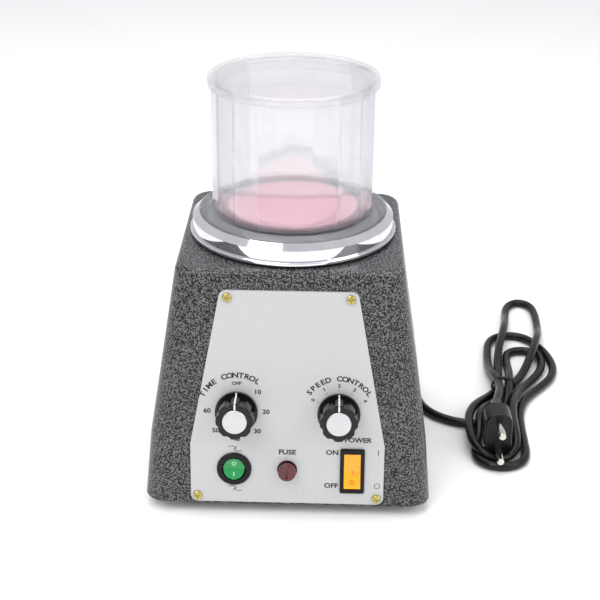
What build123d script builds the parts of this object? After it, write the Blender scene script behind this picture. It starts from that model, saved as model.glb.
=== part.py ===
from build123d import *
from math import atan, cos, degrees, pi, radians, sin, sqrt, tan
import os

# Magnetic tumbler: a tapered sheet steel cabinet with a motor that turns a disc of magnets under a clear bowl.
# Millimetres. +Z is up, the front faces -Y, and the origin is on the floor under the middle of the cabinet.

# Casing: a square cabinet in bent sheet, drawn in twice on its way up, open below.
foot_height = 8.0
bend_height = 49.0
casing_height = 158.5
casing_bottom_width = 180.0
casing_bend_width = 172.6
casing_top_width = 139.6
casing_corner = 14.0
casing_wall = 1.5
casing_top_edge = 5.0
casing_flange_width = 12.0
casing_flange_thickness = 1.5
top_opening_radius = 56.0
vent_width = 3.0
vent_length = 24.0
vent_pitch = 9.0
vent_count = 9
vent_heights = (70.0, 105.0)

# Base plate, feet and their screws.
base_thickness = 1.5
base_gap = 0.5
base_screw_inset = 10.0
base_vent_circle = 27.0
base_vent_count = 16
foot_place = (62.0, 68.0)
foot_base_radius = 9.0
foot_top_radius = 10.5
foot_recess_radius = 5.2
foot_recess_depth = 4.0

# Front plate.
panel_thickness = 1.0
panel_top = 147.0
panel_bottom = 9.5
panel_top_width = 83.6
panel_bend_width = 120.4
panel_corner = 4.5
panel_screw_top = (37.5, 142.5)
panel_screw_bottom = (56.0, 13.6)

# Controls, as distances across the front and heights above the floor.
knob_spacing = 63.0
knob_height = 70.3
lower_control_height = 32.4
direction_place = -33.0
power_place = 40.5

# Rotary controls.
bushing_radius = 4.75
control_shaft_radius = 3.0
control_nut_flats = 14.0
control_nut_thickness = 2.5
timer_width = 40.0
timer_depth = 26.0
speed_body_radius = 17.0
speed_body_depth = 22.0
knob_skirt_radius = 13.2
knob_skirt_thickness = 2.2
knob_body_radius = 11.6
knob_length = 17.5
knob_flutes = 8
knob_flute_radius = 3.4
knob_flute_circle = 14.0
knob_cap_radius = 7.5
knob_cap_thickness = 1.4
knob_cavity_gap = 0.5
knob_cavity_depth = 6.0
knob_gap = 0.6

# Rocker switches.
rocker_half_travel = 9.0
rocker_pivot_depth = 3.0
trunnion_radius = 1.2
switch_depth = 22.0
cavity_depth = 9.5
direction_bezel_radius = 10.8
direction_body_radius = 9.8
direction_cavity_radius = 7.5
direction_rocker_radius = 6.6
power_bezel = (15.3, 30.0)
power_body = (13.0, 27.0)
power_cavity = (10.8, 24.4)
power_rocker_size = (10.3, 22.0)
bezel_thickness = 1.8
rocker_rise = 3.4
rocker_dip = 1.6
rocker_bottom = 3.5

# Fuse holder.
fuse_sleeve_radius = 5.0
fuse_sleeve_length = 34.0
fuse_bore_radius = 3.5
fuse_flange_radius = 6.2
fuse_flange_thickness = 0.8
fuse_cap_radius = 5.5
fuse_cap_length = 5.0
fuse_radius = 2.6
fuse_length = 20.0
fuse_ferrule = 5.0
fuse_grip = 3.0

# Ring, its seal and the plate inside it.
gasket_thickness = 1.5
gasket_radius = 65.0
ring_flange_radius = 66.0
ring_flange_thickness = 2.5
ring_wall_radius = 64.3
ring_wall_height = 9.5
ring_bore_radius = 60.0
ring_top_width = 0.6
ring_ledge_radius = 55.0
ring_ledge_height = 7.0
seat_thickness = 2.0
clamp_circle = 60.0
clamp_hole_depth = 5.5

# Bowl and lid.
bowl_sides = 18
bowl_radius = 51.5
bowl_wall = 3.0
bowl_foot_gap = 0.5
bowl_foot_thickness = 5.3
bowl_floor_thickness = 5.5
bowl_height = 89.5
bowl_lip_radius = 53.6
bowl_lip_thickness = 3.0
bowl_turn = 5.7
mat_radius = 41.0
mat_thickness = 1.5
lid_radius = 53.6
lid_thickness = 2.6
lid_rim_radius = 46.6
lid_rim_wall = 2.0
lid_rim_depth = 6.0

# Motor, hung from the casing's top on spacers.
motor_plate_width = 110.0
motor_plate_thickness = 3.0
motor_plate_drop = 10.0
motor_radius = 36.0
can_wall = 3.0
can_length = 72.0
bell_thickness = 6.0
spigot_depth = 3.0
spigot_gap = 0.1
boss_radius = 13.0
boss_height = 3.0
bearing_radius = 11.0
bearing_width = 7.0
shaft_radius = 4.0
shaft_gap = 0.05
running_gap = 0.5
fit_gap = 0.1
motor_screw_circle = 25.0
bell_bolt_place = 30.0
armature_radius = 21.5
armature_length = 38.0
armature_slots = 12
slot_radius = 2.4
slot_circle = 16.5
winding_height = 5.0
commutator_radius = 10.0
commutator_length = 12.0
stator_inner_radius = 23.5
stator_gap_width = 26.0
brush_size = 6.0
brush_holder_size = 9.0
fan_radius = 33.0
fan_height = 10.0
fan_blades = 9

# Magnet disc.
disc_radius = 50.0
disc_thickness = 6.0
disc_hub_radius = 12.0
disc_hub_height = 4.0
disc_gap_below_seat = 6.5
magnet_count = 8
magnet_radius = 9.0
magnet_thickness = 6.0
magnet_pocket = 2.0
magnet_circle = 37.0

# Control board.
board_size = (84.0, 34.0)
board_thickness = 1.6
board_place = 58.0
standoff_height = 8.0
standoff_radius = 3.0

# Mains lead.
cord_diameter = 6.2
gland_height = 30.0
gland_radius = 9.5
gland_collar_radius = 7.4
gland_flange = 5.0
gland_dome_radius = 8.2
gland_dome = 10.0
boot_length = 34.0
boot_radius = 6.6
boot_tip_radius = 4.1

os.makedirs("parts", exist_ok=True)

# Holes and hollows that follow from what goes through them.
bushing_hole_radius = bushing_radius + 0.25
gland_hole_radius = gland_collar_radius + fit_gap
knob_cavity_radius = control_nut_flats / 2 / cos(pi / 6) + knob_cavity_gap

# Heights that follow from the sizes above.
gasket_top = casing_height + gasket_thickness
ledge_top = gasket_top + ring_ledge_height
bowl_bottom = ledge_top + seat_thickness
foot_top = bowl_bottom + bowl_foot_thickness
ring_wall_top = gasket_top + ring_wall_height
ring_top = ring_wall_top + ring_wall_radius - ring_bore_radius - ring_top_width
bowl_floor = bowl_bottom + bowl_floor_thickness
bowl_top = bowl_bottom + bowl_height
casing_ceiling = casing_height - casing_wall
motor_plate_top = casing_ceiling - motor_plate_drop
motor_plate_bottom = motor_plate_top - motor_plate_thickness
can_top = motor_plate_bottom - bell_thickness
can_bottom = can_top - can_length
bottom_bell_bottom = can_bottom - bell_thickness
boss_bottom = bottom_bell_bottom - boss_height
boss_top = motor_plate_bottom + boss_height
fan_top = boss_bottom - 1.0
fan_bottom = fan_top - fan_height
shaft_bottom = fan_bottom - 1.0
armature_bottom = can_bottom + 24.0
armature_top = armature_bottom + armature_length
commutator_bottom = can_bottom + spigot_depth + 2.0
brush_height = commutator_bottom + commutator_length / 2
disc_top = ledge_top - disc_gap_below_seat
disc_bottom = disc_top - disc_thickness
base_top = foot_height + base_thickness
board_bottom = base_top + standoff_height
board_top = board_bottom + board_thickness

upper_slope = (casing_bend_width - casing_top_width) / 2 / (casing_height - bend_height)
lower_slope = (casing_bottom_width - casing_bend_width) / 2 / (bend_height - foot_height)
upper_tilt = atan(upper_slope)
lower_tilt = atan(lower_slope)


def half_width(height):
    """Half the casing's outer width at a height."""
    slope = upper_slope if height > bend_height else lower_slope
    return casing_bend_width / 2 - slope * (height - bend_height)


def front_plane(tilt, lift=0.0):
    """Plane of the front above or below the bend: x across, y up the slope, z outwards."""
    bend_line = (0, -casing_bend_width / 2, bend_height)
    return Plane(origin=bend_line, x_dir=(1, 0, 0), z_dir=(0, -cos(tilt), sin(tilt))).offset(lift)


def up_slope(height, tilt):
    """Distance from the bend to a height, measured on the slope."""
    return (height - bend_height) / cos(tilt)


knob_places = [(side * knob_spacing / 2, up_slope(knob_height, upper_tilt)) for side in (-1, 1)]
direction_centre = (direction_place, up_slope(lower_control_height, lower_tilt))
power_centre = (power_place, up_slope(lower_control_height, lower_tilt))
fuse_centre = (0, up_slope(lower_control_height, lower_tilt))
upper_screws = [(side * panel_screw_top[0], up_slope(panel_screw_top[1], upper_tilt)) for side in (-1, 1)]
lower_screws = [(side * panel_screw_bottom[0], up_slope(panel_screw_bottom[1], lower_tilt)) for side in (-1, 1)]
clamp_places = [(clamp_circle * x / sqrt(2), clamp_circle * y / sqrt(2)) for x in (-1, 1) for y in (-1, 1)]
foot_places = [(foot_place[0] * x, foot_place[1] * y) for x in (-1, 1) for y in (-1, 1)]
base_screw_place = half_width(foot_height) - base_screw_inset
base_screw_places = [(base_screw_place * x, base_screw_place * y) for x in (-1, 1) for y in (-1, 1)]


def cross_head_screws(seat, places, head_radius, head_height, shank_radius, shank_length):
    """Cross-recessed pan-head screws whose heads stand on the seat plane."""
    with BuildPart() as screws:
        with BuildSketch(seat):
            with Locations(*places):
                Circle(head_radius)
        extrude(amount=head_height)
        crowns = screws.faces().sort_by(Axis(seat.origin, seat.z_dir))[-len(places):]
        fillet(crowns.edges(), head_height * 0.6)
        with BuildSketch(seat):
            with Locations(*places):
                Circle(shank_radius)
        extrude(amount=-shank_length)
        with BuildSketch(seat.offset(head_height)):
            with Locations(*places):
                Rectangle(head_radius * 1.1, head_radius * 0.24)
                Rectangle(head_radius * 0.24, head_radius * 1.1)
        extrude(amount=-head_height * 0.6, mode=Mode.SUBTRACT)
    return screws.part


def casing_block(inset, top, edge_radius):
    """The casing's outer shape, drawn in by the inset and cut level at the top."""
    with BuildPart() as block:
        for height in (foot_height, bend_height, top):
            with BuildSketch(Plane.XY.offset(height)):
                width = 2 * (half_width(height) - inset)
                RectangleRounded(width, width, casing_corner - inset)
        loft(ruled=True)
        fillet(block.faces().sort_by(Axis.Z)[-1].edges(), edge_radius)
    return block.part


def front_cutters(reach_in, reach_out):
    """Everything that is cut through the front for the controls and the plate's screws."""
    with BuildPart() as cutters:
        with BuildSketch(front_plane(upper_tilt, -reach_in)):
            with Locations(*knob_places):
                Circle(bushing_hole_radius)
            with Locations(*upper_screws):
                Circle(1.5)
        extrude(amount=reach_in + reach_out)
        with BuildSketch(front_plane(lower_tilt, -reach_in)):
            with Locations(direction_centre):
                Circle(direction_body_radius + fit_gap)
            with Locations(power_centre):
                Rectangle(power_body[0] + 2 * fit_gap, power_body[1] + 2 * fit_gap)
            with Locations(fuse_centre):
                Circle(fuse_sleeve_radius + fit_gap)
            with Locations(*lower_screws):
                Circle(1.5)
        extrude(amount=reach_in + reach_out)
    return cutters.part


outer_block = casing_block(0, casing_height, casing_top_edge)
inner_block = casing_block(casing_wall, casing_ceiling, casing_top_edge - casing_wall)
front_holes = front_cutters(6.0, 3.0)
back_wall = Plane(
    origin=(0, half_width(gland_height), gland_height),
    x_dir=(-1, 0, 0),
    z_dir=(0, cos(lower_tilt), sin(lower_tilt)),
)

with BuildPart() as casing:
    add(outer_block)
    add(inner_block, mode=Mode.SUBTRACT)
    flange_half = half_width(base_top) - casing_wall / 2
    with BuildSketch(Plane.XY.offset(base_top)):
        RectangleRounded(2 * flange_half, 2 * flange_half, casing_corner - casing_wall / 2)
        opening = 2 * (flange_half - casing_flange_width)
        RectangleRounded(opening, opening, 4, mode=Mode.SUBTRACT)
    extrude(amount=casing_flange_thickness)
    with BuildSketch(Plane.XY.offset(casing_height)):
        Circle(top_opening_radius)
        with Locations(*clamp_places):
            Circle(2.2)
    extrude(amount=-2 * casing_wall, mode=Mode.SUBTRACT)
    with BuildSketch(Plane.XY.offset(foot_height)):
        with Locations(*base_screw_places):
            Circle(1.8)
    extrude(amount=2 * (base_thickness + casing_flange_thickness), mode=Mode.SUBTRACT)
    add(front_holes, mode=Mode.SUBTRACT)
    with BuildSketch(back_wall):
        Circle(gland_hole_radius)
    extrude(amount=3 * casing_wall, both=True, mode=Mode.SUBTRACT)
    for height in vent_heights:
        with BuildSketch(Plane.XZ.offset(-half_width(height) - casing_wall)):
            with Locations((0, height)):
                with GridLocations(vent_pitch, 1, vent_count, 1):
                    SlotOverall(vent_length, vent_width, rotation=90)
        extrude(amount=6 * casing_wall + 6, mode=Mode.SUBTRACT)
casing.part.label = "casing"
export_step(casing.part, "parts/casing.step")

with BuildPart() as base_plate:
    base_half = half_width(foot_height) - casing_wall - base_gap
    with BuildSketch(Plane.XY.offset(foot_height)):
        RectangleRounded(2 * base_half, 2 * base_half, casing_corner - casing_wall - base_gap)
        with Locations(*foot_places):
            Circle(1.95, mode=Mode.SUBTRACT)
        with Locations(*base_screw_places):
            Circle(1.9, mode=Mode.SUBTRACT)
        with PolarLocations(base_vent_circle, base_vent_count):
            SlotOverall(20, vent_width, mode=Mode.SUBTRACT)
    extrude(amount=base_thickness)
base_plate.part.label = "base_plate"
export_step(base_plate.part, "parts/base_plate.step")

with BuildPart() as rubber_feet:
    with BuildSketch():
        with Locations(*foot_places):
            Circle(foot_base_radius)
    extrude(amount=foot_height, taper=-degrees(atan((foot_top_radius - foot_base_radius) / foot_height)))
    with BuildSketch():
        with Locations(*foot_places):
            Circle(foot_recess_radius)
    extrude(amount=foot_recess_depth, mode=Mode.SUBTRACT)
    with BuildSketch():
        with Locations(*foot_places):
            Circle(2.1)
    extrude(amount=foot_height, mode=Mode.SUBTRACT)
rubber_feet.part.label = "rubber_feet"
export_step(rubber_feet.part, "parts/rubber_feet.step")

with BuildPart() as foot_screws:
    foot_seat = Plane(origin=(0, 0, foot_recess_depth), x_dir=(1, 0, 0), z_dir=(0, 0, -1))
    mirrored_places = [(x, -y) for x, y in foot_places]
    add(cross_head_screws(foot_seat, mirrored_places, 4.0, 2.4, 1.9, foot_height - foot_recess_depth + 6.0))
foot_screws.part.label = "foot_screws"
export_step(foot_screws.part, "parts/foot_screws.step")

with BuildPart() as base_screws:
    base_seat = Plane(origin=(0, 0, foot_height), x_dir=(1, 0, 0), z_dir=(0, 0, -1))
    add(cross_head_screws(base_seat, base_screw_places, 3.2, 1.9, 1.75, 8.0))
base_screws.part.label = "base_screws"
export_step(base_screws.part, "parts/base_screws.step")

with BuildPart() as control_panel:
    panel_side = [
        (-half_width(panel_bottom), panel_bottom),
        (-half_width(bend_height), bend_height),
        (-half_width(panel_top), panel_top),
    ]
    with BuildSketch(Plane.YZ):
        with BuildLine():
            front = Polyline(*panel_side)
            back = Polyline(*[(y - panel_thickness, z) for y, z in panel_side])
            Line(front @ 0, back @ 0)
            Line(front @ 1, back @ 1)
        make_face()
    extrude(amount=panel_bend_width, both=True)
    with BuildSketch(Plane.XZ):
        with BuildLine():
            half_bend = panel_bend_width / 2
            half_top = panel_top_width / 2
            FilletPolyline(
                (-half_bend, panel_bottom),
                (half_bend, panel_bottom),
                (half_bend, bend_height),
                (half_top, panel_top),
                (-half_top, panel_top),
                (-half_bend, bend_height),
                radius=[panel_corner, panel_corner, 1.0, panel_corner, panel_corner, 1.0],
                close=True,
            )
        make_face()
    extrude(amount=casing_bottom_width, mode=Mode.INTERSECT)
    add(front_holes, mode=Mode.SUBTRACT)
control_panel.part.label = "control_panel"
export_step(control_panel.part, "parts/control_panel.step")

with BuildPart() as panel_screws:
    add(cross_head_screws(front_plane(upper_tilt, panel_thickness), upper_screws, 2.9, 1.7, 1.45, 6.0))
    add(cross_head_screws(front_plane(lower_tilt, panel_thickness), lower_screws, 2.9, 1.7, 1.45, 6.0))
panel_screws.part.label = "panel_screws"
export_step(panel_screws.part, "parts/panel_screws.step")

with BuildPart() as ring_gasket:
    with BuildSketch(Plane.XY.offset(casing_height)):
        Circle(gasket_radius)
        Circle(top_opening_radius, mode=Mode.SUBTRACT)
        with Locations(*clamp_places):
            Circle(2.2, mode=Mode.SUBTRACT)
    extrude(amount=gasket_thickness)
ring_gasket.part.label = "ring_gasket"
export_step(ring_gasket.part, "parts/ring_gasket.step")

with BuildPart() as bowl_ring:
    with BuildSketch(Plane.XZ):
        with BuildLine():
            Polyline(
                (ring_ledge_radius, gasket_top),
                (ring_flange_radius, gasket_top),
                (ring_flange_radius, gasket_top + ring_flange_thickness),
                (ring_wall_radius, gasket_top + ring_flange_thickness),
                (ring_wall_radius, ring_wall_top),
                (ring_bore_radius + ring_top_width, ring_top),
                (ring_bore_radius, ring_top),
                (ring_bore_radius, ledge_top),
                (ring_ledge_radius, ledge_top),
                close=True,
            )
        make_face()
    revolve(axis=Axis.Z)
    flange_rims = bowl_ring.edges().filter_by(GeomType.CIRCLE).filter_by(lambda e: e.radius > ring_wall_radius + 1)
    fillet(flange_rims, min(ring_flange_thickness, ring_flange_radius - ring_wall_radius) * 0.45)
    with BuildSketch(Plane.XY.offset(gasket_top)):
        with Locations(*clamp_places):
            Circle(2.05)
    extrude(amount=clamp_hole_depth, mode=Mode.SUBTRACT)
bowl_ring.part.label = "bowl_ring"
export_step(bowl_ring.part, "parts/bowl_ring.step")

with BuildPart() as seat_plate:
    with BuildSketch(Plane.XY.offset(ledge_top)):
        Circle(ring_bore_radius - bowl_foot_gap)
    extrude(amount=seat_thickness)
seat_plate.part.label = "seat_plate"
export_step(seat_plate.part, "parts/seat_plate.step")

with BuildPart() as bowl:
    with BuildSketch(Plane.XY.offset(bowl_bottom)):
        Circle(ring_bore_radius - bowl_foot_gap)
    extrude(amount=bowl_foot_thickness)
    rims = bowl.edges().filter_by(GeomType.CIRCLE)
    fillet(rims, 0.8)
    with BuildSketch(Plane.XY.offset(bowl_bottom)):
        RegularPolygon(bowl_radius, bowl_sides, rotation=bowl_turn)
    extrude(amount=bowl_height - bowl_lip_thickness / 2)
    with BuildSketch(Plane.XY.offset(bowl_top - bowl_lip_thickness)):
        Circle(bowl_lip_radius)
    extrude(amount=bowl_lip_thickness)
    lip_rims = bowl.edges().filter_by(GeomType.CIRCLE).group_by(Axis.Z)[-1]
    fillet(lip_rims, 0.8)
    with BuildSketch(Plane.XY.offset(bowl_floor)):
        RegularPolygon(bowl_radius - bowl_wall, bowl_sides, rotation=bowl_turn)
    extrude(amount=bowl_height, mode=Mode.SUBTRACT)
bowl.part.label = "bowl"
export_step(bowl.part, "parts/bowl.step")

with BuildPart() as bowl_mat:
    with BuildSketch(Plane.XY.offset(bowl_floor)):
        Circle(mat_radius)
    extrude(amount=mat_thickness)
    fillet(bowl_mat.edges().group_by(Axis.Z)[-1], 0.5)
bowl_mat.part.label = "bowl_mat"
export_step(bowl_mat.part, "parts/bowl_mat.step")

with BuildPart() as lid:
    with BuildSketch(Plane.XY.offset(bowl_top)):
        Circle(lid_radius)
    extrude(amount=lid_thickness)
    fillet(lid.edges().group_by(Axis.Z)[-1], 0.9)
    with BuildSketch(Plane.XY.offset(bowl_top)):
        Circle(lid_rim_radius)
        Circle(lid_rim_radius - lid_rim_wall, mode=Mode.SUBTRACT)
    extrude(amount=-lid_rim_depth)
lid.part.label = "lid"
export_step(lid.part, "parts/lid.step")

with BuildPart() as motor_plate:
    with BuildSketch(Plane.XY.offset(motor_plate_bottom)):
        RectangleRounded(motor_plate_width, motor_plate_width, 10)
        Circle(boss_radius + fit_gap, mode=Mode.SUBTRACT)
        with Locations(*clamp_places):
            Circle(2.2, mode=Mode.SUBTRACT)
        with PolarLocations(motor_screw_circle, 4):
            Circle(2.6, mode=Mode.SUBTRACT)
    extrude(amount=motor_plate_thickness)
motor_plate.part.label = "motor_plate"
export_step(motor_plate.part, "parts/motor_plate.step")

with BuildPart() as motor_spacers:
    with BuildSketch(Plane.XY.offset(motor_plate_top)):
        with Locations(*clamp_places):
            Circle(5.0)
            Circle(2.2, mode=Mode.SUBTRACT)
    extrude(amount=motor_plate_drop)
motor_spacers.part.label = "motor_spacers"
export_step(motor_spacers.part, "parts/motor_spacers.step")

with BuildPart() as clamp_screws:
    clamp_seat = Plane(origin=(0, 0, motor_plate_bottom), x_dir=(1, 0, 0), z_dir=(0, 0, -1))
    clamp_length = gasket_top + clamp_hole_depth - 0.5 - motor_plate_bottom
    add(cross_head_screws(clamp_seat, clamp_places, 4.0, 2.8, 2.0, clamp_length))
clamp_screws.part.label = "clamp_screws"
export_step(clamp_screws.part, "parts/clamp_screws.step")

with BuildPart() as motor_screws:
    screw_circle = [(motor_screw_circle, 0), (0, motor_screw_circle), (-motor_screw_circle, 0), (0, -motor_screw_circle)]
    motor_seat = Plane.XY.offset(motor_plate_top)
    add(cross_head_screws(motor_seat, screw_circle, 4.2, 2.4, 2.5, motor_plate_thickness + bell_thickness - 1.5))
motor_screws.part.label = "motor_screws"
export_step(motor_screws.part, "parts/motor_screws.step")

with BuildPart() as motor_can:
    with BuildSketch(Plane.XY.offset(can_bottom)):
        Circle(motor_radius)
        Circle(motor_radius - can_wall, mode=Mode.SUBTRACT)
    extrude(amount=can_length)
    with BuildSketch(Plane.YZ):
        with Locations((0, brush_height)):
            Rectangle(brush_holder_size + 2 * fit_gap, brush_holder_size + 2 * fit_gap)
    extrude(amount=2 * motor_radius, both=True, mode=Mode.SUBTRACT)
motor_can.part.label = "motor_can"
export_step(motor_can.part, "parts/motor_can.step")

with BuildPart() as motor_top_bell:
    with BuildSketch(Plane.XY.offset(can_top)):
        Circle(motor_radius)
    extrude(amount=bell_thickness)
    with BuildSketch(Plane.XY.offset(can_top)):
        Circle(motor_radius - can_wall - spigot_gap)
    extrude(amount=-spigot_depth)
    with BuildSketch(Plane.XY.offset(motor_plate_bottom)):
        Circle(boss_radius)
    extrude(amount=boss_height)
    with BuildSketch(Plane.XY.offset(boss_top)):
        Circle(bearing_radius)
    extrude(amount=-bearing_width, mode=Mode.SUBTRACT)
    with BuildSketch(Plane.XY.offset(can_top - spigot_depth)):
        Circle(shaft_radius + running_gap)
    extrude(amount=2 * bell_thickness, mode=Mode.SUBTRACT)
    with BuildSketch(Plane.XY.offset(motor_plate_bottom)):
        with PolarLocations(motor_screw_circle, 4):
            Circle(2.55)
    extrude(amount=-bell_thickness + 1.0, mode=Mode.SUBTRACT)
    with BuildSketch(Plane.XY.offset(can_top - spigot_depth)):
        with PolarLocations(bell_bolt_place, 2, 90):
            Circle(1.8)
    extrude(amount=spigot_depth + bell_thickness - 1.5, mode=Mode.SUBTRACT)
motor_top_bell.part.label = "motor_top_bell"
export_step(motor_top_bell.part, "parts/motor_top_bell.step")

with BuildPart() as motor_bottom_bell:
    with BuildSketch(Plane.XY.offset(can_bottom)):
        Circle(motor_radius)
    extrude(amount=-bell_thickness)
    with BuildSketch(Plane.XY.offset(can_bottom)):
        Circle(motor_radius - can_wall - spigot_gap)
    extrude(amount=spigot_depth)
    with BuildSketch(Plane.XY.offset(bottom_bell_bottom)):
        Circle(boss_radius + 1)
    extrude(amount=-boss_height)
    with BuildSketch(Plane.XY.offset(boss_bottom)):
        Circle(bearing_radius)
    extrude(amount=bearing_width, mode=Mode.SUBTRACT)
    with BuildSketch(Plane.XY.offset(boss_bottom)):
        Circle(shaft_radius + running_gap)
    extrude(amount=3 * bell_thickness, mode=Mode.SUBTRACT)
    with BuildSketch(Plane.XY.offset(bottom_bell_bottom)):
        with PolarLocations(bell_bolt_place, 2, 90):
            Circle(1.9)
    extrude(amount=spigot_depth + bell_thickness, mode=Mode.SUBTRACT)
motor_bottom_bell.part.label = "motor_bottom_bell"
export_step(motor_bottom_bell.part, "parts/motor_bottom_bell.step")

with BuildPart() as bell_bolts:
    bolt_seat = Plane(origin=(0, 0, bottom_bell_bottom), x_dir=(1, 0, 0), z_dir=(0, 0, -1))
    bolt_length = can_top + bell_thickness - 2.0 - bottom_bell_bottom
    bolt_places = [(0, bell_bolt_place), (0, -bell_bolt_place)]
    add(cross_head_screws(bolt_seat, bolt_places, 3.4, 2.2, 1.75, bolt_length))
bell_bolts.part.label = "bell_bolts"
export_step(bell_bolts.part, "parts/bell_bolts.step")

with BuildPart() as motor_bearings:
    for bottom in (boss_top - bearing_width, boss_bottom):
        with BuildSketch(Plane.XY.offset(bottom)):
            Circle(bearing_radius)
            Circle(shaft_radius + shaft_gap, mode=Mode.SUBTRACT)
        extrude(amount=bearing_width)
        with BuildSketch(Plane.XY.offset(bottom)):
            Circle(bearing_radius - 2.0)
            Circle(shaft_radius + 2.0, mode=Mode.SUBTRACT)
        extrude(amount=0.6, mode=Mode.SUBTRACT)
        with BuildSketch(Plane.XY.offset(bottom + bearing_width)):
            Circle(bearing_radius - 2.0)
            Circle(shaft_radius + 2.0, mode=Mode.SUBTRACT)
        extrude(amount=-0.6, mode=Mode.SUBTRACT)
motor_bearings.part.label = "motor_bearings"
export_step(motor_bearings.part, "parts/motor_bearings.step")

with BuildPart() as stator_magnets:
    with BuildSketch(Plane.XY.offset(armature_bottom)):
        Circle(motor_radius - can_wall - fit_gap)
        Circle(stator_inner_radius, mode=Mode.SUBTRACT)
        Rectangle(stator_gap_width, 4 * motor_radius, mode=Mode.SUBTRACT)
    extrude(amount=armature_length)
stator_magnets.part.label = "stator_magnets"
export_step(stator_magnets.part, "parts/stator_magnets.step")

with BuildPart() as brush_holders:
    holder_start = commutator_radius + 1.5
    holder_length = motor_radius + 4.0 - holder_start
    for side in (-1, 1):
        with BuildSketch(Plane(origin=(side * holder_start, 0, brush_height), x_dir=(0, 1, 0), z_dir=(side, 0, 0))):
            Rectangle(brush_holder_size, brush_holder_size)
            Rectangle(brush_size + 2 * fit_gap, brush_size + 2 * fit_gap, mode=Mode.SUBTRACT)
        extrude(amount=holder_length)
        with BuildSketch(
            Plane(origin=(side * (holder_start + holder_length), 0, brush_height), x_dir=(0, 1, 0), z_dir=(side, 0, 0))
        ):
            Circle(brush_holder_size * 0.62)
        extrude(amount=2.0)
brush_holders.part.label = "brush_holders"
export_step(brush_holders.part, "parts/brush_holders.step")

with BuildPart() as carbon_brushes:
    for side in (-1, 1):
        brush_start = side * (commutator_radius + 0.3)
        with BuildSketch(Plane(origin=(brush_start, 0, brush_height), x_dir=(0, 1, 0), z_dir=(side, 0, 0))):
            Rectangle(brush_size, brush_size)
        extrude(amount=14.0)
carbon_brushes.part.label = "carbon_brushes"
export_step(carbon_brushes.part, "parts/carbon_brushes.step")

with BuildPart() as motor_shaft:
    with BuildSketch(Plane.XY.offset(shaft_bottom)):
        Circle(shaft_radius)
    extrude(amount=disc_top - 0.5 - shaft_bottom)
    chamfer(motor_shaft.edges().filter_by(GeomType.CIRCLE), 0.5)
motor_shaft.part.label = "motor_shaft"
export_step(motor_shaft.part, "parts/motor_shaft.step")

with BuildPart() as armature_core:
    with BuildSketch(Plane.XY.offset(armature_bottom)):
        Circle(armature_radius)
        Circle(shaft_radius + 0.02, mode=Mode.SUBTRACT)
        with PolarLocations(slot_circle, armature_slots):
            Circle(slot_radius, mode=Mode.SUBTRACT)
        with PolarLocations(armature_radius, armature_slots):
            Rectangle(2 * (armature_radius - slot_circle), 1.4, mode=Mode.SUBTRACT)
    extrude(amount=armature_length)
armature_core.part.label = "armature_core"
export_step(armature_core.part, "parts/armature_core.step")

with BuildPart() as armature_windings:
    for bottom in (armature_bottom - winding_height, armature_top):
        with BuildSketch(Plane.XY.offset(bottom)):
            Circle(slot_circle + slot_radius)
            Circle(shaft_radius + 5.0, mode=Mode.SUBTRACT)
        extrude(amount=winding_height)
    fillet(armature_windings.edges().group_by(Axis.Z)[-1], 1.5)
    fillet(armature_windings.edges().group_by(Axis.Z)[0], 1.5)
    with BuildSketch(Plane.XY.offset(armature_bottom - 1.0)):
        with PolarLocations(slot_circle, armature_slots):
            Circle(slot_radius - 0.2)
    extrude(amount=armature_length + 2.0)
armature_windings.part.label = "armature_windings"
export_step(armature_windings.part, "parts/armature_windings.step")

with BuildPart() as commutator:
    with BuildSketch(Plane.XY.offset(commutator_bottom)):
        Circle(commutator_radius)
        Circle(shaft_radius + 0.02, mode=Mode.SUBTRACT)
        with PolarLocations(commutator_radius, armature_slots):
            Rectangle(2.4, 0.6, mode=Mode.SUBTRACT)
    extrude(amount=commutator_length)
commutator.part.label = "commutator"
export_step(commutator.part, "parts/commutator.step")

with BuildPart() as cooling_fan:
    with BuildSketch(Plane.XY.offset(fan_bottom)):
        Circle(2.2 * shaft_radius)
        with PolarLocations((fan_radius + shaft_radius) / 2, fan_blades):
            Rectangle(fan_radius - shaft_radius - 4.0, 1.4)
    extrude(amount=fan_height)
    with BuildSketch(Plane.XY.offset(fan_top)):
        Circle(fan_radius)
    extrude(amount=-1.4)
    with BuildSketch(Plane.XY.offset(fan_bottom)):
        Circle(shaft_radius + 0.02)
    extrude(amount=fan_height, mode=Mode.SUBTRACT)
cooling_fan.part.label = "cooling_fan"
export_step(cooling_fan.part, "parts/cooling_fan.step")

with BuildPart() as magnet_disc:
    with BuildSketch(Plane.XY.offset(disc_bottom)):
        Circle(disc_radius)
    extrude(amount=disc_thickness)
    with BuildSketch(Plane.XY.offset(disc_bottom)):
        Circle(disc_hub_radius)
    extrude(amount=-disc_hub_height)
    with BuildSketch(Plane.XY.offset(disc_top)):
        with PolarLocations(magnet_circle, magnet_count):
            Circle(magnet_radius + fit_gap)
    extrude(amount=-magnet_pocket, mode=Mode.SUBTRACT)
    with BuildSketch(Plane.XY.offset(disc_bottom - disc_hub_height)):
        Circle(shaft_radius + 0.02)
    extrude(amount=disc_thickness + disc_hub_height, mode=Mode.SUBTRACT)
    with BuildSketch(Plane.YZ):
        with Locations((0, disc_bottom - disc_hub_height / 2)):
            Circle(1.55)
    extrude(amount=disc_hub_radius, mode=Mode.SUBTRACT)
magnet_disc.part.label = "magnet_disc"
export_step(magnet_disc.part, "parts/magnet_disc.step")

with BuildPart() as drive_magnets:
    with BuildSketch(Plane.XY.offset(disc_top - magnet_pocket)):
        with PolarLocations(magnet_circle, magnet_count):
            Circle(magnet_radius)
    extrude(amount=magnet_thickness)
drive_magnets.part.label = "drive_magnets"
export_step(drive_magnets.part, "parts/drive_magnets.step")

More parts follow.
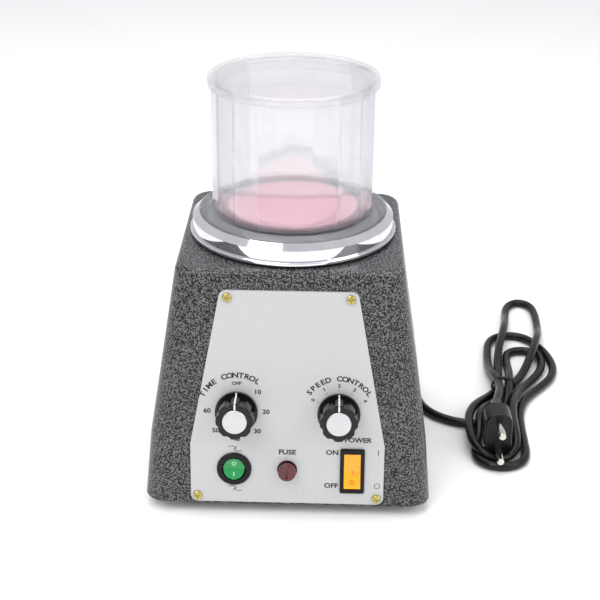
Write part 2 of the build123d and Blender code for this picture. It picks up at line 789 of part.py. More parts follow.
with BuildPart() as disc_grub_screw:
    grub_plane = Plane(origin=(shaft_radius + 0.05, 0, disc_bottom - disc_hub_height / 2), x_dir=(0, 1, 0), z_dir=(1, 0, 0))
    with BuildSketch(grub_plane):
        Circle(1.5)
    extrude(amount=6.0)
    with BuildSketch(grub_plane.offset(6.0)):
        RegularPolygon(0.85, 6)
    extrude(amount=-2.0, mode=Mode.SUBTRACT)
disc_grub_screw.part.label = "disc_grub_screw"
export_step(disc_grub_screw.part, "parts/disc_grub_screw.step")


def control_bushing(plane, centre, nut_space):
    """Threaded bushing that passes the wall and the plate, bored for its shaft."""
    with BuildPart() as bushing:
        with BuildSketch(plane):
            with Locations(centre):
                Circle(bushing_radius)
                Circle(control_shaft_radius + shaft_gap, mode=Mode.SUBTRACT)
        extrude(amount=nut_space)
    return bushing.part


control_inside = front_plane(upper_tilt, -casing_wall)
control_outside = front_plane(upper_tilt, panel_thickness)
bushing_length = casing_wall + panel_thickness + control_nut_thickness + 1.0
shaft_inner_reach = 8.0
shaft_outer_reach = 13.0

with BuildPart() as timer_body:
    with BuildSketch(control_inside):
        with Locations(knob_places[0]):
            RectangleRounded(timer_width, timer_width, 4)
    extrude(amount=-timer_depth)
    add(control_bushing(control_inside, knob_places[0], bushing_length))
    with BuildSketch(control_inside):
        with Locations(knob_places[0]):
            Circle(control_shaft_radius + shaft_gap)
    extrude(amount=-shaft_inner_reach - fit_gap, mode=Mode.SUBTRACT)
timer_body.part.label = "timer_body"
export_step(timer_body.part, "parts/timer_body.step")

with BuildPart() as speed_switch_body:
    with BuildSketch(control_inside):
        with Locations(knob_places[1]):
            Circle(speed_body_radius)
    extrude(amount=-speed_body_depth)
    add(control_bushing(control_inside, knob_places[1], bushing_length))
    with BuildSketch(control_inside):
        with Locations(knob_places[1]):
            Circle(control_shaft_radius + shaft_gap)
    extrude(amount=-shaft_inner_reach - fit_gap, mode=Mode.SUBTRACT)
speed_switch_body.part.label = "speed_switch_body"
export_step(speed_switch_body.part, "parts/speed_switch_body.step")

with BuildPart() as control_nuts:
    with BuildSketch(control_outside):
        with Locations(*knob_places):
            RegularPolygon(control_nut_flats / 2, 6, major_radius=False)
            Circle(bushing_radius + 0.05, mode=Mode.SUBTRACT)
    extrude(amount=control_nut_thickness)
control_nuts.part.label = "control_nuts"
export_step(control_nuts.part, "parts/control_nuts.step")


def control_shaft(centre):
    """Round shaft from inside the control to the top of its knob's bore."""
    with BuildPart() as shaft:
        with BuildSketch(control_inside.offset(-shaft_inner_reach)):
            with Locations(centre):
                Circle(control_shaft_radius)
        extrude(amount=shaft_inner_reach + casing_wall + panel_thickness + shaft_outer_reach)
    return shaft.part


def control_knob(centre):
    """Skirted, fluted knob, hollow below for the nut and bored for the shaft."""
    base = control_outside.offset(knob_gap)
    with BuildPart() as knob:
        with BuildSketch(base):
            with Locations(centre):
                Circle(knob_body_radius)
                with PolarLocations(knob_flute_circle, knob_flutes, 180 / knob_flutes):
                    Circle(knob_flute_radius, mode=Mode.SUBTRACT)
        extrude(amount=knob_length)
        crown = knob.faces().sort_by(Axis(base.origin, base.z_dir))[-1]
        fillet(crown.edges(), 0.8)
        with BuildSketch(base):
            with Locations(centre):
                Circle(knob_skirt_radius)
        extrude(amount=knob_skirt_thickness)
        with BuildSketch(base):
            with Locations(centre):
                Circle(knob_cavity_radius)
        extrude(amount=knob_cavity_depth, mode=Mode.SUBTRACT)
        with BuildSketch(base):
            with Locations(centre):
                Circle(control_shaft_radius + 0.02)
        extrude(amount=shaft_outer_reach - knob_gap + fit_gap, mode=Mode.SUBTRACT)
        with BuildSketch(base.offset(knob_length)):
            with Locations(centre):
                Circle(knob_cap_radius + 0.05)
        extrude(amount=-knob_cap_thickness / 2, mode=Mode.SUBTRACT)
    return knob.part


def knob_cap(centre):
    """Flat metal cap let into the top of a knob."""
    base = control_outside.offset(knob_gap + knob_length - knob_cap_thickness / 2)
    with BuildPart() as cap:
        with BuildSketch(base):
            with Locations(centre):
                Circle(knob_cap_radius)
        extrude(amount=knob_cap_thickness)
        fillet(cap.faces().sort_by(Axis(base.origin, base.z_dir))[-1].edges(), 0.5)
    return cap.part


with BuildPart() as timer_shaft:
    add(control_shaft(knob_places[0]))
timer_shaft.part.label = "timer_shaft"
export_step(timer_shaft.part, "parts/timer_shaft.step")

with BuildPart() as speed_shaft:
    add(control_shaft(knob_places[1]))
speed_shaft.part.label = "speed_shaft"
export_step(speed_shaft.part, "parts/speed_shaft.step")

with BuildPart() as time_knob:
    add(control_knob(knob_places[0]))
time_knob.part.label = "time_knob"
export_step(time_knob.part, "parts/time_knob.step")

with BuildPart() as speed_knob:
    add(control_knob(knob_places[1]))
speed_knob.part.label = "speed_knob"
export_step(speed_knob.part, "parts/speed_knob.step")

with BuildPart() as time_knob_cap:
    add(knob_cap(knob_places[0]))
time_knob_cap.part.label = "time_knob_cap"
export_step(time_knob_cap.part, "parts/time_knob_cap.step")

with BuildPart() as speed_knob_cap:
    add(knob_cap(knob_places[1]))
speed_knob_cap.part.label = "speed_knob_cap"
export_step(speed_knob_cap.part, "parts/speed_knob_cap.step")

switch_face = front_plane(lower_tilt, panel_thickness)
pivot_plane = front_plane(lower_tilt, panel_thickness - rocker_pivot_depth)

with BuildPart() as direction_switch_housing:
    with BuildSketch(switch_face):
        with Locations(direction_centre):
            Circle(direction_bezel_radius)
    extrude(amount=bezel_thickness)
    fillet(direction_switch_housing.faces().sort_by(Axis(switch_face.origin, switch_face.z_dir))[-1].edges(), 0.8)
    with BuildSketch(switch_face):
        with Locations(direction_centre):
            Circle(direction_body_radius)
    extrude(amount=-switch_depth)
    with BuildSketch(switch_face.offset(bezel_thickness)):
        with Locations(direction_centre):
            Circle(direction_cavity_radius)
    extrude(amount=-bezel_thickness - cavity_depth, mode=Mode.SUBTRACT)
    with BuildSketch(Plane(origin=pivot_plane.from_local_coords((*direction_centre, 0)), x_dir=(0, 1, 0), z_dir=(1, 0, 0))):
        Circle(trunnion_radius + shaft_gap)
    extrude(amount=direction_cavity_radius + 1.5, both=True, mode=Mode.SUBTRACT)
direction_switch_housing.part.label = "direction_switch_housing"
export_step(direction_switch_housing.part, "parts/direction_switch_housing.step")

with BuildPart() as power_switch_housing:
    with BuildSketch(switch_face):
        with Locations(power_centre):
            RectangleRounded(*power_bezel, 1.2)
    extrude(amount=bezel_thickness)
    fillet(power_switch_housing.faces().sort_by(Axis(switch_face.origin, switch_face.z_dir))[-1].edges(), 0.7)
    with BuildSketch(switch_face):
        with Locations(power_centre):
            Rectangle(*power_body)
    extrude(amount=-switch_depth)
    with BuildSketch(switch_face.offset(bezel_thickness)):
        with Locations(power_centre):
            Rectangle(*power_cavity)
    extrude(amount=-bezel_thickness - cavity_depth, mode=Mode.SUBTRACT)
    with BuildSketch(Plane(origin=pivot_plane.from_local_coords((*power_centre, 0)), x_dir=(0, 1, 0), z_dir=(1, 0, 0))):
        Circle(trunnion_radius + shaft_gap)
    extrude(amount=power_cavity[0] / 2 + 0.8, both=True, mode=Mode.SUBTRACT)
power_switch_housing.part.label = "power_switch_housing"
export_step(power_switch_housing.part, "parts/power_switch_housing.step")

rocker_tilt = lower_tilt + radians(rocker_half_travel)


def rocker_profile_plane(centre):
    """Plane through a rocker's pivot with x up the rocker and y out of it, turned so that its top is pressed in."""
    pivot = pivot_plane.from_local_coords((*centre, 0))
    up_the_rocker = (0, sin(rocker_tilt), cos(rocker_tilt))
    return Plane(origin=pivot, x_dir=up_the_rocker, z_dir=(1, 0, 0))


def rocker_body(centre, length, width):
    """Rocker with a shallow valley across its face, hung on a trunnion at each side."""
    plane = rocker_profile_plane(centre)
    middle = rocker_pivot_depth + rocker_dip
    with BuildPart() as rocker:
        with BuildSketch(plane):
            with BuildLine():
                Polyline(
                    (-length / 2, middle + rocker_rise - rocker_dip),
                    (0, middle),
                    (length / 2, middle + rocker_rise - rocker_dip),
                    (length / 2, 0),
                    (length / 2 - 3.0, -rocker_bottom),
                    (3.0 - length / 2, -rocker_bottom),
                    (-length / 2, 0),
                    close=True,
                )
            make_face()
        extrude(amount=width / 2, both=True)
    return rocker.part


def rocker_trunnions(centre, half_length):
    """Round pins at both sides of a rocker."""
    with BuildPart() as trunnions:
        with BuildSketch(rocker_profile_plane(centre)):
            Circle(trunnion_radius)
        extrude(amount=half_length, both=True)
    return trunnions.part


with BuildPart() as power_rocker:
    add(rocker_body(power_centre, power_rocker_size[1], power_rocker_size[0]))
    add(rocker_trunnions(power_centre, power_cavity[0] / 2 + 0.7))
power_rocker.part.label = "power_rocker"
export_step(power_rocker.part, "parts/power_rocker.step")

with BuildPart() as direction_rocker:
    add(rocker_body(direction_centre, 2 * direction_rocker_radius, 2 * direction_rocker_radius))
    round_plane = Plane(
        origin=pivot_plane.from_local_coords((*direction_centre, 0)),
        x_dir=(1, 0, 0),
        z_dir=(0, -cos(rocker_tilt), sin(rocker_tilt)),
    )
    with BuildSketch(round_plane.offset(-2 * rocker_bottom)):
        Circle(direction_rocker_radius)
    extrude(amount=6 * rocker_bottom, mode=Mode.INTERSECT)
    add(rocker_trunnions(direction_centre, direction_cavity_radius + 1.2))
direction_rocker.part.label = "direction_rocker"
export_step(direction_rocker.part, "parts/direction_rocker.step")

with BuildPart() as switch_terminals:
    with BuildSketch(switch_face.offset(-switch_depth)):
        for centre in (direction_centre, power_centre):
            with Locations(centre):
                with GridLocations(1, 7.5, 1, 3):
                    Rectangle(6.3, 0.8)
    extrude(amount=-8.0)
switch_terminals.part.label = "switch_terminals"
export_step(switch_terminals.part, "parts/switch_terminals.step")

with BuildPart() as fuse_holder_body:
    with BuildSketch(switch_face):
        with Locations(fuse_centre):
            Circle(fuse_flange_radius)
    extrude(amount=fuse_flange_thickness)
    with BuildSketch(switch_face):
        with Locations(fuse_centre):
            Circle(fuse_sleeve_radius)
    extrude(amount=-fuse_sleeve_length)
    with BuildSketch(switch_face.offset(fuse_flange_thickness)):
        with Locations(fuse_centre):
            Circle(fuse_bore_radius)
    extrude(amount=-fuse_flange_thickness - fuse_sleeve_length + 2.0, mode=Mode.SUBTRACT)
    with BuildSketch(switch_face.offset(-casing_wall - panel_thickness - 0.3)):
        with Locations(fuse_centre):
            RegularPolygon(7.0, 6, major_radius=False)
    extrude(amount=-3.0)
    with BuildSketch(switch_face.offset(fuse_flange_thickness)):
        with Locations(fuse_centre):
            Circle(fuse_bore_radius)
    extrude(amount=-fuse_flange_thickness - fuse_sleeve_length + 2.0, mode=Mode.SUBTRACT)
fuse_holder_body.part.label = "fuse_holder_body"
export_step(fuse_holder_body.part, "parts/fuse_holder_body.step")

with BuildPart() as fuse_cap:
    cap_seat = switch_face.offset(fuse_flange_thickness + fit_gap)
    with BuildSketch(cap_seat):
        with Locations(fuse_centre):
            Circle(fuse_cap_radius)
    extrude(amount=fuse_cap_length)
    fillet(fuse_cap.faces().sort_by(Axis(cap_seat.origin, cap_seat.z_dir))[-1].edges(), 0.8)
    with BuildSketch(cap_seat.offset(fuse_cap_length)):
        with Locations(fuse_centre):
            Rectangle(1.2, 1.3 * fuse_cap_radius)
    extrude(amount=-1.2, mode=Mode.SUBTRACT)
    with BuildSketch(cap_seat):
        with Locations(fuse_centre):
            Circle(fuse_radius + shaft_gap)
    extrude(amount=fuse_grip, mode=Mode.SUBTRACT)
fuse_cap.part.label = "fuse_cap"
export_step(fuse_cap.part, "parts/fuse_cap.step")

with BuildPart() as fuse_cartridge:
    fuse_start = cap_seat.offset(fuse_grip - fit_gap)
    with BuildSketch(fuse_start):
        with Locations(fuse_centre):
            Circle(fuse_radius - 0.2)
    extrude(amount=-fuse_length)
    for start in (0, fuse_ferrule - fuse_length):
        with BuildSketch(fuse_start.offset(start)):
            with Locations(fuse_centre):
                Circle(fuse_radius)
        extrude(amount=-fuse_ferrule)
fuse_cartridge.part.label = "fuse_cartridge"
export_step(fuse_cartridge.part, "parts/fuse_cartridge.step")

standoff_places = [(x * (board_size[0] / 2 - 4), board_place + y * (board_size[1] / 2 - 4)) for x in (-1, 1) for y in (-1, 1)]

with BuildPart() as board_standoffs:
    with BuildSketch(Plane.XY.offset(base_top)):
        with Locations(*standoff_places):
            Circle(standoff_radius)
    extrude(amount=standoff_height)
    with BuildSketch(Plane.XY.offset(board_bottom)):
        with Locations(*standoff_places):
            Circle(1.4)
    extrude(amount=board_thickness + 1.6)
board_standoffs.part.label = "board_standoffs"
export_step(board_standoffs.part, "parts/board_standoffs.step")

with BuildPart() as control_board:
    with BuildSketch(Plane.XY.offset(board_bottom)):
        with Locations((0, board_place)):
            RectangleRounded(*board_size, 2)
        with Locations(*standoff_places):
            Circle(1.5, mode=Mode.SUBTRACT)
    extrude(amount=board_thickness)
control_board.part.label = "control_board"
export_step(control_board.part, "parts/control_board.step")

with BuildPart() as board_components:
    with BuildSketch(Plane.XY.offset(board_top)):
        with Locations((-18, board_place)):
            Rectangle(26, 24)
    extrude(amount=20)
    with BuildSketch(Plane.XY.offset(board_top)):
        with Locations((6, board_place - 4), (20, board_place - 4)):
            Circle(6)
    extrude(amount=18)
    with BuildSketch(Plane.XY.offset(board_top)):
        with Locations((13, board_place + 11)):
            Rectangle(26, 6)
    extrude(amount=9)
board_components.part.label = "board_components"
export_step(board_components.part, "parts/board_components.step")

with BuildPart() as gland_body:
    with BuildSketch(back_wall):
        Circle(gland_radius)
    extrude(amount=gland_flange)
    with BuildSketch(back_wall.offset(gland_flange)):
        Circle(gland_dome_radius)
    extrude(amount=gland_dome)
    fillet(gland_body.faces().sort_by(Axis(back_wall.origin, back_wall.z_dir))[-1].edges(), 1.5)
    with BuildSketch(back_wall):
        Circle(gland_collar_radius)
    extrude(amount=-casing_wall - 0.3)
    with BuildSketch(back_wall.offset(-casing_wall - 0.3)):
        Circle(gland_radius)
    extrude(amount=-4.0)
    with BuildSketch(back_wall.offset(gland_flange + gland_dome)):
        Circle(cord_diameter / 2 + fit_gap)
    extrude(amount=-gland_flange - gland_dome - casing_wall - 5.0, mode=Mode.SUBTRACT)
gland_body.part.label = "gland_body"
export_step(gland_body.part, "parts/gland_body.step")

with BuildPart() as cord_boot:
    boot_start = back_wall.offset(gland_flange + gland_dome)
    with BuildSketch(boot_start):
        Circle(boot_radius)
    with BuildSketch(boot_start.offset(boot_length)):
        Circle(boot_tip_radius)
    loft()
    with BuildSketch(boot_start):
        Circle(cord_diameter / 2)
    extrude(amount=-gland_flange - gland_dome - casing_wall - 12.0)
cord_boot.part.label = "cord_boot"
export_step(cord_boot.part, "parts/cord_boot.step")

# The lead: back from the boot, down to the floor, round behind the cabinet and out along its right side.
boot_end = boot_start.offset(boot_length).origin
cord_route = [
    (boot_end.X, boot_end.Y, boot_end.Z),
    (0.5, 161.0, 36.6),
    (1.5, 188.0, 26.5),
    (3.0, 214.0, 12.0),
    (18.5, 236.0, 3.8),
    (44.0, 245.0, 3.3),
    (70.5, 237.0, 3.3),
    (86.8, 214.0, 3.3),
    (88.6, 187.0, 3.3),
    (86.6, 160.0, 3.3),
    (88.4, 133.0, 3.3),
    (86.8, 107.0, 3.3),
    (88.2, 85.0, 3.3),
    (88.4, 68.0, 3.3),
    (90.0, 55.5, 3.3),
    (93.7, 44.0, 3.3),
    (100.8, 34.3, 3.3),
    (110.5, 27.2, 3.3),
    (121.8, 23.4, 3.3),
]


def route_radii(points):
    """Arc at each corner of a cord's route: 0.45 of the shorter run over the tangent of half the turn."""
    radii = []
    for before, corner, after in zip(points, points[1:], points[2:]):
        run_in = Vector(*corner) - Vector(*before)
        run_out = Vector(*after) - Vector(*corner)
        half_turn = radians(run_in.get_angle(run_out) / 2)
        radii.append(0.45 * min(run_in.length, run_out.length) / tan(half_turn))
    return radii


cord_radii = route_radii(cord_route)
print("cord arc radii:", [round(radius, 1) for radius in cord_radii])

with BuildPart() as power_cord:
    with BuildLine():
        route = FilletPolyline(*cord_route, radius=cord_radii)
    with BuildSketch(Plane(origin=route @ 0, z_dir=route % 0)):
        Circle(cord_diameter / 2)
    sweep(path=route)
power_cord.part.label = "power_cord"
export_step(power_cord.part, "parts/power_cord.step")
print("cord length:", round(route.length, 1), "volume:", round(power_cord.part.volume, 1))

# The hank: loops gathered by the tie, with a long lobe above it and a pear-shaped one round the plug below.
hank_bottom = 0.2
hank_top = 14.4
single_layer = 6.8
tie_place = (153.4, 73.0)
tie_inner_width = 15.6
tie_corner = 5.0
tie_width = 3.0
tie_thickness = 1.0
tie_inner_height = hank_top - hank_bottom - 2 * tie_thickness
hank_outline = [
    (145.4, 73.0),
    (142.6, 92.0),
    (143.2, 118.0),
    (145.2, 146.0),
    (154.0, 164.0),
    (163.6, 186.0),
    (164.2, 210.0),
    (170.0, 226.0),
    (182.0, 230.8),
    (194.6, 224.0),
    (197.6, 206.0),
    (196.4, 176.0),
    (194.8, 146.0),
    (198.6, 118.0),
    (195.0, 92.0),
    (178.6, 69.0),
    (165.8, 46.0),
    (163.6, 12.0),
    (163.0, -16.0),
    (156.0, -32.0),
    (142.0, -37.4),
    (127.0, -32.0),
    (120.6, -16.0),
    (119.4, 4.0),
    (121.2, 28.0),
    (130.4, 50.0),
]
plug_face = (139.5, -20.0, 19.6)
plug_size = (18.0, 31.0)
plug_depth = 17.0
plug_gap = 0.4

with BuildPart() as cord_hank:
    with BuildSketch(Plane.XY.offset(hank_bottom)):
        with BuildLine():
            Spline(*hank_outline, periodic=True)
        make_face()
        with Locations((plug_face[0], plug_face[1] + 23.0)):
            RectangleRounded(plug_size[0] + 2 * plug_gap, 74.0, 8.5, mode=Mode.SUBTRACT)
    extrude(amount=hank_top - hank_bottom)
    with BuildSketch(Plane.XY.offset(hank_top)):
        with Locations((plug_face[0], plug_face[1] - 15.0)):
            Rectangle(50.0, 18.0)
    extrude(amount=-(hank_top - single_layer), mode=Mode.SUBTRACT)
    with BuildSketch(Plane.XZ.offset(-tie_place[1])):
        with Locations((tie_place[0], (hank_top + hank_bottom) / 2)):
            Rectangle(60, 60)
            RectangleRounded(tie_inner_width, tie_inner_height, tie_corner, mode=Mode.SUBTRACT)
    extrude(amount=tie_width / 2 + 0.1, both=True, mode=Mode.SUBTRACT)
cord_hank.part.label = "cord_hank"
export_step(cord_hank.part, "parts/cord_hank.step")

with BuildPart() as cord_tie:
    with BuildSketch(Plane.XZ.offset(-tie_place[1])):
        with Locations((tie_place[0], (hank_top + hank_bottom) / 2)):
            RectangleRounded(tie_inner_width + 2 * tie_thickness, hank_top - hank_bottom, tie_corner + tie_thickness)
            RectangleRounded(tie_inner_width, tie_inner_height, tie_corner, mode=Mode.SUBTRACT)
    extrude(amount=tie_width / 2, both=True)
cord_tie.part.label = "cord_tie"
export_step(cord_tie.part, "parts/cord_tie.step")

plug_plane = Plane(origin=plug_face, x_dir=(1, 0, 0), z_dir=(0, -1, 0))

with BuildPart() as plug_body:
    with BuildSketch(plug_plane):
        RectangleRounded(*plug_size, 7.0)
    extrude(amount=-plug_depth)
    with BuildSketch(plug_plane.offset(-plug_depth)):
        RectangleRounded(*plug_size, 7.0)
    with BuildSketch(plug_plane.offset(-plug_depth - 18.0)):
        with Locations((2.0, -3.0)):
            Circle(5.4)
    loft()
    fillet(plug_body.faces().sort_by(Axis.Y)[0].edges(), 1.2)
    with BuildSketch(plug_plane.offset(-plug_depth - 18.0)):
        with Locations((2.0, -3.0)):
            Circle(5.4)
    with BuildSketch(plug_plane.offset(-plug_depth - 36.0)):
        with Locations((4.0, -5.0)):
            Circle(4.2)
    loft()
plug_body.part.label = "plug_body"
export_step(plug_body.part, "parts/plug_body.step")

with BuildPart() as plug_pins:
    with BuildSketch(plug_plane):
        with Locations((0, 9.5), (0, -9.5)):
            Circle(2.4)
    extrude(amount=19.0)
    fillet(plug_pins.faces().sort_by(Axis.Y)[:2].edges(), 1.2)
plug_pins.part.label = "plug_pins"
export_step(plug_pins.part, "parts/plug_pins.step")
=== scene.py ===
import bmesh
import bpy
from math import atan, cos, pi, radians, sin, tau
from mathutils import Matrix, Vector


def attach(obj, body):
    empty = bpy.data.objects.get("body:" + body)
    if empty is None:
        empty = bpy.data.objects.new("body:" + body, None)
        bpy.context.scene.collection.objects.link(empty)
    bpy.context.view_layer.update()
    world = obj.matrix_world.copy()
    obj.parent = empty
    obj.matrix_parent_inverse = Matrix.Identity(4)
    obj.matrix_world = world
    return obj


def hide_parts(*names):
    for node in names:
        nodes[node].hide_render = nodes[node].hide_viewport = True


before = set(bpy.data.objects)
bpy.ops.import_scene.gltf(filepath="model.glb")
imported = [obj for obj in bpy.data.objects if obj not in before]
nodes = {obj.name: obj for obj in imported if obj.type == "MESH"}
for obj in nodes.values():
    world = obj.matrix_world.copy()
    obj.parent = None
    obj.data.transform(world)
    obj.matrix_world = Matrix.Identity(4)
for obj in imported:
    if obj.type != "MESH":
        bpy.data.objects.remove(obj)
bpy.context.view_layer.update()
mm = 0.001

# Magnetic tumbler: the looks for a hammertone cabinet, its clear bowl and its mains lead.


# an sRGB hex colour as the linear one that shaders take
def linearColour(code):
    values = [int(code[i:i + 2], 16) / 255 for i in (1, 3, 5)]
    return [v / 12.92 if v <= 0.04045 else ((v + 0.055) / 1.055) ** 2.4 for v in values] + [1.0]


view = {
    "azimuth": 1.66,
    "elevation": 23.22,
    "distance": 0.8929,
    "targetHeight": 0.140,
    "roll": 0.41,
    "lens": 82.25,
    "shift": (0.0121, -0.0755),
}


def makeCamera():
    turn, rise, lean = (radians(view[k]) for k in ("azimuth", "elevation", "roll"))
    back = Vector((sin(turn) * cos(rise), -cos(turn) * cos(rise), sin(rise)))
    right = Vector((cos(turn), sin(turn), 0))
    up = back.cross(right)
    tiltedRight = right * cos(lean) + up * sin(lean)
    tiltedUp = up * cos(lean) - right * sin(lean)
    data = bpy.data.cameras.new("frontCamera")
    data.lens = view["lens"]
    data.shift_x, data.shift_y = view["shift"]
    data.clip_end = 30
    camera = bpy.data.objects.new("frontCamera", data)
    place = Vector((0, 0, view["targetHeight"])) + back * view["distance"]
    turned = Matrix((tiltedRight, tiltedUp, back)).transposed().to_4x4()
    camera.matrix_world = Matrix.Translation(place) @ turned
    bpy.context.collection.objects.link(camera)
    bpy.context.scene.camera = camera


makeCamera()
bpy.context.scene.view_settings.view_transform = "Standard"
print("camera placed")


# adds a node, with its settings, the values of its sockets and the links into them
def addNode(tree, kind, values=None, links=None, **settings):
    node = tree.nodes.new(kind)
    for name, value in settings.items():
        setattr(node, name, value)
    for name, value in (values or {}).items():
        node.inputs[name].default_value = value
    for name, source in (links or {}).items():
        tree.links.new(source, node.inputs[name])
    return node


# a material with one Principled shader, its tree and that shader
def newMaterial(name, colour, roughness, metallic=0.0, **values):
    material = bpy.data.materials.new(name)
    material.use_nodes = True
    tree = material.node_tree
    shader = tree.nodes["Principled BSDF"]
    shader.inputs["Base Color"].default_value = linearColour(colour)
    shader.inputs["Roughness"].default_value = roughness
    shader.inputs["Metallic"].default_value = metallic
    for key, value in values.items():
        shader.inputs[key.replace("_", " ")].default_value = value
    return material, tree, shader


# fine noise of one size in millimetres: a bump of some depth, a range of roughness, and a pair of colours
def grain(tree, shader, size, depth, roughness, tint=None, stretch=(1, 1, 1), detail=3.0):
    coords = addNode(tree, "ShaderNodeTexCoord")
    mapping = addNode(tree, "ShaderNodeMapping", {"Scale": stretch}, {"Vector": coords.outputs["Object"]})
    noise = addNode(tree, "ShaderNodeTexNoise", {"Scale": 1 / (size * mm), "Detail": detail},
                    {"Vector": mapping.outputs["Vector"]})
    spread = addNode(tree, "ShaderNodeMapRange",
                     {"From Min": 0.3, "From Max": 0.7, "To Min": roughness[0], "To Max": roughness[1]},
                     {"Value": noise.outputs["Fac"]})
    tree.links.new(spread.outputs["Result"], shader.inputs["Roughness"])
    if depth:
        bump = addNode(tree, "ShaderNodeBump", {"Strength": 1.0, "Distance": depth * mm},
                       {"Height": noise.outputs["Fac"]})
        tree.links.new(bump.outputs["Normal"], shader.inputs["Normal"])
    if tint:
        ramp = addNode(tree, "ShaderNodeValToRGB", links={"Fac": noise.outputs["Fac"]})
        for stop, position, colour in zip(ramp.color_ramp.elements, (0.35, 0.65), tint):
            stop.position = position
            stop.color = linearColour(colour)
        tree.links.new(ramp.outputs["Color"], shader.inputs["Base Color"])
    return noise


paint = {
    "dark": "#080809",
    "vein": "#6b6b6d",
    "veinWidth": 0.95,
    "veinShare": (0.45, 0.60),
    "cloudWidth": 60,
    "cloudShade": (0.82, 1.12),
    "gloss": (0.22, 0.42),
    "relief": 0.12,
}


# hammertone enamel, sprayed and stoved: pale veins about a millimetre wide on black, under a soft gloss
def hammertonePaint():
    material, tree, shader = newMaterial("hammertoneEnamel", "#404042", 0.34, Coat_Weight=0.08,
                                         Coat_Roughness=0.22, Specular_IOR_Level=0.3)
    coords = addNode(tree, "ShaderNodeTexCoord")
    veins = addNode(tree, "ShaderNodeTexNoise",
                    {"Scale": 1 / (paint["veinWidth"] * mm), "Detail": 1.0, "Roughness": 0.4},
                    {"Vector": coords.outputs["Object"]})
    ramp = addNode(tree, "ShaderNodeValToRGB", links={"Fac": veins.outputs["Fac"]})
    colours = (paint["dark"], paint["vein"])
    for stop, position, colour in zip(ramp.color_ramp.elements, paint["veinShare"], colours):
        stop.position = position
        stop.color = linearColour(colour)
    clouds = addNode(tree, "ShaderNodeTexNoise", {"Scale": 1 / (paint["cloudWidth"] * mm), "Detail": 2.0},
                     {"Vector": coords.outputs["Object"]})
    low, high = paint["cloudShade"]
    shade = addNode(tree, "ShaderNodeMapRange", {"To Min": low, "To Max": high},
                    {"Value": clouds.outputs["Fac"]})
    scaled = addNode(tree, "ShaderNodeVectorMath",
                     links={0: ramp.outputs["Color"], "Scale": shade.outputs["Result"]}, operation="SCALE")
    tree.links.new(scaled.outputs["Vector"], shader.inputs["Base Color"])
    low, high = paint["gloss"]
    gloss = addNode(tree, "ShaderNodeMapRange",
                    {"From Min": 0.4, "From Max": 0.6, "To Min": low, "To Max": high},
                    {"Value": veins.outputs["Fac"]})
    tree.links.new(gloss.outputs["Result"], shader.inputs["Roughness"])
    bump = addNode(tree, "ShaderNodeBump", {"Strength": 0.6, "Distance": paint["relief"] * mm},
                   {"Height": veins.outputs["Fac"]})
    tree.links.new(bump.outputs["Normal"], shader.inputs["Normal"])
    return material


# moulded plastic or rubber: a fine spark-eroded grain, and a colour that is a little uneven
def moulded(name, colour, roughness, size=0.9, depth=0.008, darker=None, **values):
    material, tree, shader = newMaterial(name, colour, roughness, **values)
    grain(tree, shader, size, depth, (roughness * 0.8, min(roughness * 1.25, 1)), (darker or colour, colour))
    return material


# bare or plated metal: its grain follows how it was finished
def metal(name, colour, roughness, size=0.8, depth=0.004, stretch=(1, 1, 1), darker=None):
    material, tree, shader = newMaterial(name, colour, roughness, 1.0)
    spread = (roughness * 0.75, min(roughness * 1.35, 1))
    grain(tree, shader, size, depth, spread, (darker or colour, colour), stretch)
    return material


# clear plastic: mostly let straight through, a share bent, a shine at its skin and a cast along its edges
def clearPlastic(name, colour, roughness, absorb, density, share):
    material, tree, shader = newMaterial(name, colour, roughness, Transmission_Weight=1.0, IOR=1.49)
    coords = addNode(tree, "ShaderNodeTexCoord")
    haze = addNode(tree, "ShaderNodeTexNoise", {"Scale": 1 / (9 * mm), "Detail": 4.0},
                   {"Vector": coords.outputs["Object"]})
    spread = addNode(tree, "ShaderNodeMapRange",
                     {"From Min": 0.4, "From Max": 0.75, "To Min": roughness, "To Max": roughness + 0.05},
                     {"Value": haze.outputs["Fac"]})
    tree.links.new(spread.outputs["Result"], shader.inputs["Roughness"])
    through = addNode(tree, "ShaderNodeBsdfTransparent", {"Color": linearColour(colour)})
    gloss = addNode(tree, "ShaderNodeBsdfGlossy", links={"Roughness": spread.outputs["Result"]})
    edge = addNode(tree, "ShaderNodeFresnel", {"IOR": 1.49})
    side = addNode(tree, "ShaderNodeNewGeometry")
    outer = addNode(tree, "ShaderNodeMath", {0: 1.0}, {1: side.outputs["Backfacing"]}, operation="SUBTRACT")
    shine = addNode(tree, "ShaderNodeMath", links={0: edge.outputs["Fac"], 1: outer.outputs["Value"]},
                    operation="MULTIPLY")
    skin = addNode(tree, "ShaderNodeMixShader", links={0: shine.outputs["Value"], 1: through.outputs["BSDF"],
                                                       2: gloss.outputs["BSDF"]})
    mixed = addNode(tree, "ShaderNodeMixShader", {0: share},
                    {1: skin.outputs["Shader"], 2: shader.outputs["BSDF"]})
    tree.links.new(mixed.outputs["Shader"], tree.nodes["Material Output"].inputs["Surface"])
    volume = addNode(tree, "ShaderNodeVolumeAbsorption", {"Color": linearColour(absorb), "Density": density})
    tree.links.new(volume.outputs["Volume"], tree.nodes["Material Output"].inputs["Volume"])
    return material


